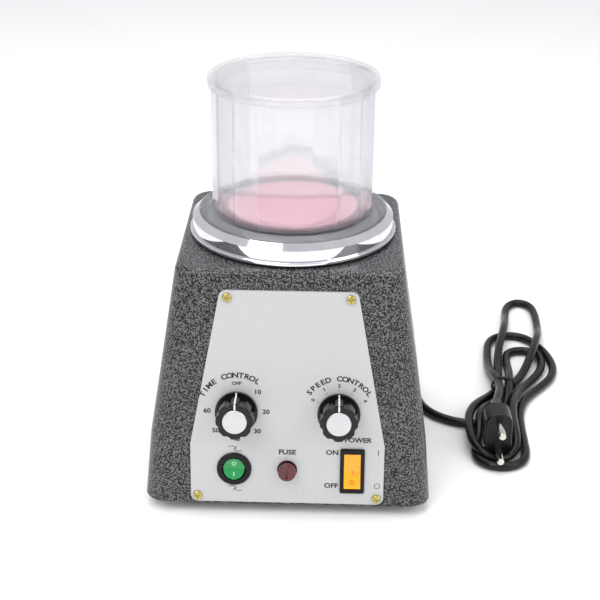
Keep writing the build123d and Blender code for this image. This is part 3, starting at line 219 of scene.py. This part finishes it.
# aluminium disc faced on a lathe: rings a third of a millimetre apart round the knob's axis
def spunCap(name, centre):
    material, tree, shader = newMaterial(name, "#cfcfd0", 0.3, 1.0)
    coords = addNode(tree, "ShaderNodeTexCoord")
    mapping = addNode(tree, "ShaderNodeMapping", {"Location": [-c for c in centre]},
                      {"Vector": coords.outputs["Object"]})
    reach = addNode(tree, "ShaderNodeVectorMath", links={0: mapping.outputs["Vector"]}, operation="LENGTH")
    rings = addNode(tree, "ShaderNodeMath", {1: tau / (0.34 * mm)}, {0: reach.outputs["Value"]},
                    operation="MULTIPLY")
    wave = addNode(tree, "ShaderNodeMath", links={0: rings.outputs["Value"]}, operation="SINE")
    bump = addNode(tree, "ShaderNodeBump", {"Strength": 0.5, "Distance": 0.01 * mm},
                   {"Height": wave.outputs["Value"]})
    tree.links.new(bump.outputs["Normal"], shader.inputs["Normal"])
    return material


# aluminium sheet, fine-blasted and clear-lacquered: an even pale silver with a soft sheen
def panelSheet():
    material, tree, shader = newMaterial("satinLacqueredAluminium", "#bdbdbe", 0.38, 0.25)
    grain(tree, shader, 0.45, 0.003, (0.34, 0.48), ("#b7b7b8", "#c3c3c4"), detail=4.0)
    return material


finish = {
    "hammered_paint": hammertonePaint(),
    "panel_metal": panelSheet(),
    # plated steels: zinc is grey and a little dull, passivated zinc yellow, nickel warm and bright
    "plated_steel": metal("zincPlatedSteel", "#b4b5b3", 0.32, 1.5, 0.004, darker="#9c9d9c"),
    "yellow_zinc": metal("yellowPassivatedZinc", "#cfc27c", 0.26, 1.1, 0.004, darker="#a89c58"),
    "pin_nickel": metal("nickelPlatedBrass", "#d8d5cb", 0.12, 2.0, 0.002, darker="#c8c5bb"),
    "nickel_magnet": metal("nickelPlatedMagnet", "#c9c6bd", 0.14, 3.0, 0.002, darker="#bdbab1"),
    # stainless ring polished to a mirror, and a blasted plate inside it that stays pale and even
    "polished_steel": metal("polishedStainless", "#dfe0e3", 0.045, 12, 0.0, darker="#d6d7db"),
    "seat_sheet": moulded("blastedAnodisedSheet", "#e4e4e6", 0.42, 0.5, 0.004, "#dcdcdf"),
    # moulded rubber and silicone: matt, with a fine grain
    "black_rubber": moulded("mouldedBlackRubber", "#121212", 0.7, 0.7, 0.02, "#0b0b0b",
                            Specular_IOR_Level=0.25),
    "pink_mat": moulded("pinkSiliconeMat", "#dfb2bd", 0.55, 1.6, 0.04, "#d9a7b4"),
    # cast and drawn clear parts
    "clear_acrylic": clearPlastic("castClearAcrylic", "#fafafa", 0.0, "#b4aed0", 14.0, 0.42),
    "fuse_glass": clearPlastic("fuseGlass", "#f7faf8", 0.0, "#dfeee6", 6.0, 0.5),
    # phenolic mouldings: hard and glossy
    "knob_plastic": moulded("glossPhenolic", "#0b0b0c", 0.16, 2.5, 0.004, "#080808", Specular_IOR_Level=0.35),
    "knob_cap_metal": metal("facedAluminium", "#e9e9ea", 0.22, 0.5, 0.002),
    "fuse_cap_red": moulded("maroonPhenolic", "#5d141c", 0.22, 1.4, 0.004, "#4a0d14", Coat_Weight=0.3),
    # polycarbonate rockers: smooth, and light goes a little way into them
    "green_rocker": moulded("greenPolycarbonate", "#12934a", 0.16, 3.0, 0.002, "#0d8442",
                            Subsurface_Weight=0.25, Subsurface_Scale=0.002, Coat_Weight=0.4),
    "amber_rocker": moulded("amberPolycarbonate", "#ffae12", 0.18, 3.0, 0.002, "#f7a20c",
                            Subsurface_Weight=0.3, Subsurface_Scale=0.002, Coat_Weight=0.4),
    # nylon mouldings: satin black with a spark-eroded grain
    "switch_black": moulded("mouldedBlackNylon", "#121213", 0.36, 0.6, 0.008, "#0c0c0d",
                            Specular_IOR_Level=0.25),
    "fan_plastic": moulded("mouldedNylonFan", "#1d1d1f", 0.42, 0.8, 0.01, "#161617"),
    "gland_black": moulded("mouldedGlandNylon", "#18181a", 0.4, 0.7, 0.012, "#111112"),
    # extruded sheaths: satin, smooth along the lead
    "cord_pvc": moulded("extrudedBlackPvc", "#0f0f10", 0.3, 1.3, 0.012, "#0a0a0b", Specular_IOR_Level=0.3),
    "tie_black": moulded("pvcCoatedWire", "#0d0d0e", 0.34, 0.8, 0.01, "#080809", Specular_IOR_Level=0.3),
    # motor and electrics, seen only through the vents
    "motor_steel": metal("phosphatedSteel", "#8b8c8e", 0.36, 1.2, 0.006, darker="#77787a"),
    "cast_aluminium": metal("dieCastAluminium", "#a9aaab", 0.48, 0.9, 0.03, darker="#96979a"),
    "copper": metal("enamelledCopper", "#b8673a", 0.24, 0.6, 0.02, (1, 1, 0.2), "#9c5028"),
    "dark_magnet": metal("sinteredFerrite", "#3c3b3c", 0.55, 0.6, 0.02, darker="#2f2e2f"),
    "board_green": moulded("solderMaskGreen", "#145c32", 0.3, 1.6, 0.01, "#104f2a", Coat_Weight=0.5),
    "component_blue": moulded("epoxyDippedParts", "#27447e", 0.34, 1.2, 0.02, "#1d3769"),
}
# finishes with no slot of their own
lidAcrylic = clearPlastic("satinClearAcrylic", "#ffffff", 0.2, "#d2cfe2", 6.0, 0.2)
blackInk = moulded("blackScreenInk", "#1a1a1c", 0.5, 0.4, 0.0, "#242427")
whitePaint = moulded("whiteFilledPaint", "#f1f1ee", 0.42, 0.4, 0.002, "#e4e4e0")
redPaint = moulded("redFilledPaint", "#cf3a12", 0.42, 0.4, 0.002, "#bb2f0c")
mintPaint = moulded("paleFilledPaint", "#cfeeda", 0.42, 0.4, 0.002, "#bfe2cb")

for node in nodes.values():
    node.material_slots[0].material = finish[node.material_slots[0].material.name.split(".")[0]]
print("materials assigned")


lead = {
    "diameter": 6.2 * mm,
    "floor": 3.3,
    "second": 9.9,
    "length": 1.685,
}
f, s = lead["floor"], lead["second"]
leadPoints = [
    # out of the boot, down to the floor, round behind the cabinet and along its right side
    (0, 105, 31.5), (0, 120, 32.9), (0, 136.7, 34.6), (0.5, 161, 36.6), (1.5, 188, 26.5), (3, 214, 12),
    (18.5, 236, 3.8), (44, 245, f),
    (70.5, 237, f), (86.8, 214, f), (88.6, 187, f), (86.6, 160, f), (88.4, 133, f), (86.8, 107, f),
    (88.2, 85, f), (88.4, 68, f), (90, 55.5, f), (93.7, 44, f), (100.8, 34.3, f), (110.5, 27.2, f),
    (121.8, 23.4, f),
    # under the left of the bottom lobe, up inside it and through the tie
    (132, 22.6, f), (140.5, 25.6, f), (147.6, 33.6, f), (151.2, 45, 4.6), (155.2, 59, 8.2), (157.4, 73, s),
    (159.2, 88, 8.6),
    # smallest loop
    (160.4, 102, 5.2), (160.6, 113, f), (161, 124, f), (162.6, 130.8, f), (167.4, 135.8, f),
    (174.2, 137.6, f),
    (181, 135.8, f), (186, 130.6, f), (187.6, 123, f), (187, 112.6, f), (183.4, 101, f), (177.2, 90, f),
    (170, 79, f), (163.8, 67, 5.2),
    # down the right of the bottom lobe, on the other turn, and round its inside
    (159.4, 53, 8.6), (155.8, 37, s), (154.4, 20, s), (154.2, 5, s), (153.8, -7.6, 7.4), (151.4, -15.8, 4.4),
    (145.8, -21.8, f), (138.4, -24.2, f), (131.4, -22, 6.0),
    # up its left over the lead, and through the tie
    (125.4, -16.4, 9.2), (123, -8.6, s), (122.6, 3, s), (122.8, 14, s), (124.4, 26, s), (128.6, 38, 9.4),
    (134.8, 49.6, 7.0), (142, 60.4, 4.6), (148, 70.4, 4.4), (151.4, 83, f),
    # longest loop, over the middle one and back
    (152.4, 98, f), (153.6, 115, 4.2), (156.6, 134, 8.2), (160.6, 150, s), (164.0, 166, s), (166.6, 183, 6.4),
    (168.4, 197, f), (169.8, 207.6, f), (171.8, 215.2, f), (175.6, 221.8, f), (181.8, 225.4, f),
    (188.4, 222.8, f), (192.0, 216.6, f), (193.2, 208.4, f), (193.4, 197, f), (192.6, 183, f),
    (191.2, 168, 4.8), (188.6, 152, 9.4),
    (185, 137.6, 10.4), (180.4, 122.4, 9.6), (174.6, 107, 5.0), (168, 92.6, f), (160.6, 79, 4.2),
    # down the left of the bottom lobe and round its outside
    (153, 66.6, 4.0), (145.8, 55, f), (138.8, 43.4, 6.4), (134, 33, 9.4), (131.4, 23.6, s), (130.4, 14, 8.0),
    (129.6, 5, 4.6), (127, -5, f), (124.8, -14.6, f), (126.4, -24.4, f), (132.8, -31, f), (141.8, -33.2, f),
    (150.8, -30.6, f), (157.2, -24, f), (159.6, -14.6, f), (159.8, -2, f), (160, 12, f), (160.4, 27, f),
    (162.2, 42, f), (166.4, 56, f), (173.4, 68, f), (182.2, 79.4, f),
    # middle loop, and through the tie to the plug
    (190.2, 91, f), (194.8, 104, f), (195.4, 118, f), (193, 132, f), (188.2, 145.4, f), (184, 154, f),
    (177.6, 160.8, f), (168.4, 163.4, f), (159, 161, f), (152.2, 154, f), (149, 144.4, f), (147.4, 131, f),
    (146.2, 115, f), (146, 99.4, 5.4), (147.8, 85.4, 9.4), (149.6, 73, 10.4), (149.4, 60, 11.6),
    (147, 47, 13.6), (143.9, 35, 14.5), (143.2, 31, 14.6),
]


# a text or curve as a mesh
def meshOf(data):
    holder = bpy.data.objects.new(data.name, data)
    bpy.context.collection.objects.link(holder)
    bpy.context.view_layer.update()
    mesh = bpy.data.meshes.new_from_object(holder.evaluated_get(bpy.context.evaluated_depsgraph_get()))
    bpy.data.objects.remove(holder)
    return mesh


# a round wire through points in millimetres
def wireCurve(name, points, radius, smoothness, resolution=12):
    curve = bpy.data.curves.new(name, "CURVE")
    curve.dimensions = "3D"
    curve.bevel_depth = radius
    curve.bevel_resolution = smoothness
    curve.resolution_u = resolution
    curve.use_fill_caps = True
    spline = curve.splines.new("NURBS")
    spline.points.add(len(points) - 1)
    for point, place in zip(spline.points, points):
        point.co = (*(value * mm for value in place), 1.0)
    spline.order_u = 3
    spline.use_endpoint_u = True
    return curve


# links a piece, gives it its finish, and lets it ride on a body
def newObject(name, data, material, body):
    piece = bpy.data.objects.new(name, data)
    bpy.context.collection.objects.link(piece)
    if data.materials:
        data.materials[0] = material
    else:
        data.materials.append(material)
    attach(piece, body)
    return piece


def makeLead():
    curve = wireCurve("mainsLead", leadPoints, lead["diameter"] / 2, 5, 6)
    piece = newObject("mainsLead", curve, finish["cord_pvc"], "cabinet")
    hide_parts("power_cord", "cord_hank")
    return piece


mainsLead = makeLead()
print("lead laid")


# a mesh made by a function that fills a bmesh
def meshFrom(build, name):
    shape = bmesh.new()
    build(shape)
    bmesh.ops.recalc_face_normals(shape, faces=shape.faces)
    mesh = bpy.data.meshes.new(name)
    shape.to_mesh(mesh)
    shape.free()
    return mesh


# smooth shading with creases kept at edges sharper than an angle
def smoothMesh(mesh, angle=35):
    mesh.shade_smooth()
    mesh.set_sharp_from_angle(angle=radians(angle))


relief = {
    "tilt": 5.157,
    "start": (0, 102.86, 31.32),
    "length": 34.0,
    "startRadius": 6.6,
    "endRadius": 4.1,
    "collar": 0.06,
    "ribs": 8,
    "firstGroove": 0.08,
    "pitch": 0.105,
    "grooveWidth": 0.047,
    "grooveSlope": 0.012,
    "groove": 0.9,
    "sides": 48,
}


# tapered sleeve with grooves round it, drawn up from a disc
def buildRelief(shape):
    def radiusAt(part):
        return (relief["startRadius"] + (relief["endRadius"] - relief["startRadius"]) * part) * mm

    bmesh.ops.create_circle(shape, segments=relief["sides"], radius=radiusAt(0), cap_ends=True)
    rim = list(shape.edges)
    now, height = radiusAt(0), 0.0
    wide, slope = relief["grooveWidth"], relief["grooveSlope"]
    steps = [(relief["collar"], 0)]  # share of the length, and share of the groove's depth
    for i in range(relief["ribs"]):
        low = relief["firstGroove"] + i * relief["pitch"]
        steps += [(low, 0), (low + slope, 1), (low + wide - slope, 1), (low + wide, 0)]
    steps += [(0.985, 0), (1.0, 0.6)]
    for part, deep in steps:
        out = bmesh.ops.extrude_edge_only(shape, edges=rim)
        fresh = [v for v in out["geom"] if isinstance(v, bmesh.types.BMVert)]
        rim = [e for e in out["geom"] if isinstance(e, bmesh.types.BMEdge)]
        radius = radiusAt(part) - deep * relief["groove"] * mm
        bmesh.ops.scale(shape, vec=(radius / now, radius / now, 1), verts=fresh)
        bmesh.ops.translate(shape, vec=(0, 0, part * relief["length"] * mm - height), verts=fresh)
        now, height = radius, part * relief["length"] * mm
    bmesh.ops.holes_fill(shape, edges=rim)
    turn = Matrix.Rotation(radians(relief["tilt"] - 90), 4, "X")
    place = Matrix.Translation([value * mm for value in relief["start"]])
    bmesh.ops.transform(shape, matrix=place @ turn, verts=shape.verts)


reliefMesh = meshFrom(buildRelief, "strainRelief")
smoothMesh(reliefMesh)
strainRelief = newObject("strainRelief", reliefMesh, finish["cord_pvc"], "cabinet")
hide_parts("cord_boot")

tie = {
    "centre": (153.4, 73.0, 7.3),
    "half": (8.2, 6.5),
    "wire": 0.75,
    "steps": 26,
    "stepsPerTurn": 12,
    "pitch": 2.2,
    "ears": ((3.0, 1, 0.7), (6.0, 3, 0.4), (8.6, 2, -2.0), (10.4, -2, -4.6), (11.2, -7, -6.0)),
}


# coated wire wound twice round the lead, its two ends bent outwards
def buildTie():
    x0, y0, z0 = tie["centre"]
    wide, tall = tie["half"]
    path = []
    for i in range(tie["steps"] + 1):
        turn = tau * i / tie["stepsPerTurn"] + pi / 2 - tau * 0.04
        along = y0 - tie["pitch"] / 2 + tie["pitch"] * i / tie["steps"]
        path.append((x0 + wide * cos(turn) * 1.04, along, z0 + tall * sin(turn) * 0.98))
    for side, end in ((-1, 0), (1, -1)):
        x, y, z = path[end]
        tail = [(x + side * reach, y + lift * 0.4, z + drop) for reach, lift, drop in tie["ears"]]
        path = tail[::-1] + path if end == 0 else path + tail
    mesh = meshOf(wireCurve("wireTie", path, tie["wire"] * mm, 3, 5))
    smoothMesh(mesh)
    return mesh


wireTie = newObject("wireTie", buildTie(), finish["tie_black"], "cabinet")
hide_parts("cord_tie")

print("lead finished")

front = {
    "bend": (0, -86.3, 49.0),
    "upperTilt": 8.569,
    "lowerTilt": 5.157,
    "plate": 1.0,
    "ink": 0.02,
    "knobs": ((-31.5, 21.54), (31.5, 21.54)),
    "direction": (-33.0, -16.67),
    "power": (40.5, -16.67),
    "fuse": (0.0, -16.67),
}


printing = {
    "sizePerCapital": 1.42,
    "thickness": 0.03,
    "boldness": 0.05,
    "widen": 1.12,
    "minutes": ("OFF", "10", "20", "30", "40", "50", "60"),
    "minuteStep": 45,
    "speedStep": 31,
}


# matrix of a spot on the front: x across, y up the slope, z outwards, from a tilt in degrees
def faceAt(across, up, lift, tilt, spin=0.0):
    lean = radians(tilt)
    slope = Vector((0, sin(lean), cos(lean)))
    outward = Vector((0, -cos(lean), sin(lean)))
    spot = Vector(front["bend"]) + Vector((across, 0, 0)) + slope * up + outward * lift
    turned = Matrix((Vector((1, 0, 0)), slope, outward)).transposed().to_4x4()
    return Matrix.Translation(spot * mm) @ turned @ Matrix.Rotation(spin, 4, "Z")


# matrix of a spot on the plate's face, above or below its bend
def onPlate(across, up, spin=0.0):
    tilt = front["upperTilt"] if up > 0 else front["lowerTilt"]
    return faceAt(across, up, front["plate"] + front["ink"], tilt, spin)


# text as a thin raised mesh at a place, centred on its own middle, from its capitals' height
def letterMesh(words, height, place):
    text = bpy.data.curves.new("letters", "FONT")
    text.body = words
    text.size = height * mm * printing["sizePerCapital"]
    text.align_x, text.align_y = "CENTER", "CENTER"
    text.extrude = printing["thickness"] * mm / 2
    text.offset = printing["boldness"] * height * mm
    text.resolution_u = 3
    mesh = meshOf(text)
    mesh.transform(place @ Matrix.Diagonal((printing["widen"], 1, 1, 1)))
    return mesh


# one piece from several meshes
def joined(name, meshes, material, body):
    shape = bmesh.new()
    for mesh in meshes:
        shape.from_mesh(mesh)
        bpy.data.meshes.remove(mesh)
    bmesh.ops.remove_doubles(shape, verts=shape.verts, dist=1e-7)
    whole = bpy.data.meshes.new(name)
    shape.to_mesh(whole)
    shape.free()
    whole.materials.clear()
    return newObject(name, whole, material, body)


# spot at a distance from a centre, at an angle from straight up, clockwise
def onCircle(centre, radius, angle):
    turn = radians(angle)
    return centre[0] + radius * sin(turn), centre[1] + radius * cos(turn)


# letters set round a centre, each turned to face it, their middle at an angle
def arcLetters(words, centre, radius, height, step, middle=0.0):
    found = []
    for i, letter in enumerate(words):
        angle = middle + (i - (len(words) - 1) / 2) * step
        if letter != " ":
            x, y = onCircle(centre, radius, angle)
            found.append(letterMesh(letter, height, onPlate(x, y, -radians(angle))))
    return found


# a flat printed line through points across and up, as a thin ribbon with round ends
def stroke(points, width, place):
    mesh = meshOf(wireCurve("stroke", [(x, y, 0) for x, y in points], width / 2 * mm, 2))
    mesh.transform(Matrix.Diagonal((1, 1, 0.06, 1)))
    mesh.transform(place)
    return mesh


# a printed ring
def ringMark(radius, width, place):
    points = [(radius * cos(tau * i / 24), radius * sin(tau * i / 24)) for i in range(25)]
    return stroke(points, width, place)


def makeMarkings():
    timeDial, speedDial = front["knobs"]
    marks = arcLetters("TIME CONTROL", timeDial, 23.4, 3.3, 8.7, -15)
    marks += arcLetters("SPEED CONTROL", speedDial, 22.4, 3.2, 9.0)
    for i, word in enumerate(printing["minutes"]):
        spot = onCircle(timeDial, 18.2, printing["minuteStep"] * i)
        marks.append(letterMesh(word, 2.1 if i == 0 else 2.8, onPlate(*spot)))
    for i in range(5):
        angle = printing["speedStep"] * (i - 2)
        x, y = onCircle(speedDial, 15.0, angle)
        marks.append(stroke([(-0.12, 0), (0, 0), (0.12, 0)], 1.2, onPlate(x, y)))
        marks.append(letterMesh(str(i), 2.2, onPlate(*onCircle(speedDial, 18.0, angle), -radians(angle))))
    x, y = front["fuse"]
    marks.append(letterMesh("FUSE", 3.2, onPlate(x, y + 11.8)))
    x, y = front["power"]
    marks += [
        letterMesh("POWER", 3.0, onPlate(x + 3.2, y + 20.7)),
        letterMesh("ON", 3.1, onPlate(x - 12.6, y + 12.2)),
        letterMesh("OFF", 3.1, onPlate(x - 13.0, y - 10.6)),
        stroke([(0, -1.7), (0, 0), (0, 1.7)], 0.55, onPlate(x + 16.0, y + 12.6)),
        ringMark(1.7, 0.4, onPlate(x + 15.7, y - 10.2)),
    ]
    x, y = front["direction"]
    for side in (1, -1):
        base = onPlate(x + 0.6, y + side * 13.6, 0 if side > 0 else pi)
        marks += [
            stroke([(-4.2, 1.2), (-2.6, 2.0), (-0.6, 1.5), (0.8, 0.2)], 0.4, base),
            stroke([(-0.9, -0.2), (0.8, 0.2), (0.9, 1.7)], 0.4, base),
            stroke([(4.2, -1.2), (2.6, -2.0), (0.6, -1.5), (-0.8, -0.2)], 0.4, base),
        ]
    return joined("plateMarkings", marks, blackInk, "cabinet")


makeMarkings()


rockers = {
    "pivot": -2.0,
    "travel": 9.0,
    "middle": 4.6,
    "end": 6.4,
}


# matrix of a spot on a rocker's face, at a signed share of its half length from the middle
def onRocker(centre, halfLength, along):
    slope = atan((rockers["end"] - rockers["middle"]) / halfLength) * (1 if along > 0 else -1)
    pivot = faceAt(*centre, rockers["pivot"], front["lowerTilt"]).translation
    lean = radians(front["lowerTilt"] + rockers["travel"])
    up, outward = Vector((0, sin(lean), cos(lean))), Vector((0, -cos(lean), sin(lean)))
    rise = rockers["middle"] + (rockers["end"] - rockers["middle"]) * abs(along)
    spot = pivot + (up * along * halfLength + outward * (rise + 0.02)) * mm
    faceUp, faceOut = up * cos(slope) + outward * sin(slope), outward * cos(slope) - up * sin(slope)
    turned = Matrix((Vector((1, 0, 0)), faceUp, faceOut)).transposed().to_4x4()
    return Matrix.Translation(spot) @ turned


bar = [(0, -1.3), (0, 0), (0, 1.3)]
joined("directionLegend", [ringMark(1.15, 0.42, onRocker(front["direction"], 6.6, 0.5)),
                           stroke(bar, 0.5, onRocker(front["direction"], 6.6, -0.5))],
       mintPaint, "direction_rocker")
joined("powerLegend", [stroke(bar, 0.5, onRocker(front["power"], 11.0, -0.08)),
                       ringMark(1.3, 0.45, onRocker(front["power"], 11.0, -0.62))],
       redPaint, "power_rocker")
print("markings printed")

knob = {"gap": 0.6, "skirt": 2.2, "skirtRadius": 13.2, "bodyRadius": 11.6, "length": 17.5, "capRadius": 7.5,
        "line": 1.0}


# white line filled into the knob: up its side from the skirt, and in over its face to the cap
def buildPointer(centre):
    def build(shape):
        base = faceAt(*centre, front["plate"] + knob["gap"], front["upperTilt"])
        skirt, tall, wide = knob["skirt"], knob["length"], knob["line"]
        outer, side, cap = knob["skirtRadius"], knob["bodyRadius"], knob["capRadius"]
        sunk = 0.5 / 2 - 0.03
        lengths = [
            ((0, side - 0.1, (skirt + tall) / 2), (wide, 0.5, tall - skirt - 0.9)),
            ((0, (cap + side) / 2 - 0.1, tall - sunk), (wide, side - cap - 0.6, 0.5)),
            ((0, (outer + side) / 2, skirt - sunk), (wide, outer - side - 0.3, 0.5)),
        ]
        for spot, size in lengths:
            local = Matrix.Translation([v * mm for v in spot]) @ Matrix.Diagonal([*(v * mm for v in size), 1])
            made = bmesh.ops.create_cube(shape, size=1, matrix=base @ local)
            edges = {e for v in made["verts"] for e in v.link_edges}
            bmesh.ops.bevel(shape, geom=list(edges), offset=0.08 * mm, affect="EDGES", segments=2,
                            profile=0.5, material=-1)
    return build


for name, centre in (("time", front["knobs"][0]), ("speed", front["knobs"][1])):
    pointer = meshFrom(buildPointer(centre), name + "Pointer")
    newObject(name + "Pointer", pointer, whitePaint, name + "_knob")
    middle = faceAt(*centre, front["plate"] + knob["gap"] + knob["length"], front["upperTilt"]).translation
    nodes[name + "_knob_cap"].material_slots[0].material = spunCap(name + "SpunAluminium", middle)
nodes["lid"].material_slots[0].material = lidAcrylic
print("knobs finished")


studio = {
    "floorHalf": 9,
    "paper": "#f4f4f4",
    "sky": "#f7f8fb",
    "skyStrength": 0.8,
    # name, place, size of its side in metres, watts
    "lamps": (
        ("keyBox", (-0.55, -0.75, 1.15), 0.9, 11),
        ("fillBox", (0.95, -0.55, 0.8), 0.8, 5),
        ("topBox", (0.05, 0.35, 1.4), 1.1, 9),
    ),
}


def makeStudio():
    floorMesh = meshFrom(lambda shape: bmesh.ops.create_grid(shape, x_segments=2, y_segments=2,
                                                             size=studio["floorHalf"]), "floor")
    material, tree, shader = newMaterial("whitePaper", studio["paper"], 0.6)
    grain(tree, shader, 3.0, 0.0, (0.55, 0.65))
    floorMesh.materials.append(material)
    floor = bpy.data.objects.new("floor", floorMesh)
    bpy.context.collection.objects.link(floor)
    world = bpy.data.worlds.new("studio")
    bpy.context.scene.world = world
    world.use_nodes = True
    sky = world.node_tree.nodes["Background"]
    sky.inputs["Color"].default_value = linearColour(studio["sky"])
    sky.inputs["Strength"].default_value = studio["skyStrength"]
    for name, place, size, power in studio["lamps"]:
        data = bpy.data.lights.new(name, "AREA")
        data.shape = "SQUARE"
        data.size = size
        data.energy = power
        lamp = bpy.data.objects.new(name, data)
        lamp.location = place
        aim = Vector((0, 0, 0.1)) - Vector(place)
        lamp.rotation_euler = aim.to_track_quat("-Z", "Y").to_euler()
        bpy.context.collection.objects.link(lamp)


makeStudio()
print("studio lit")
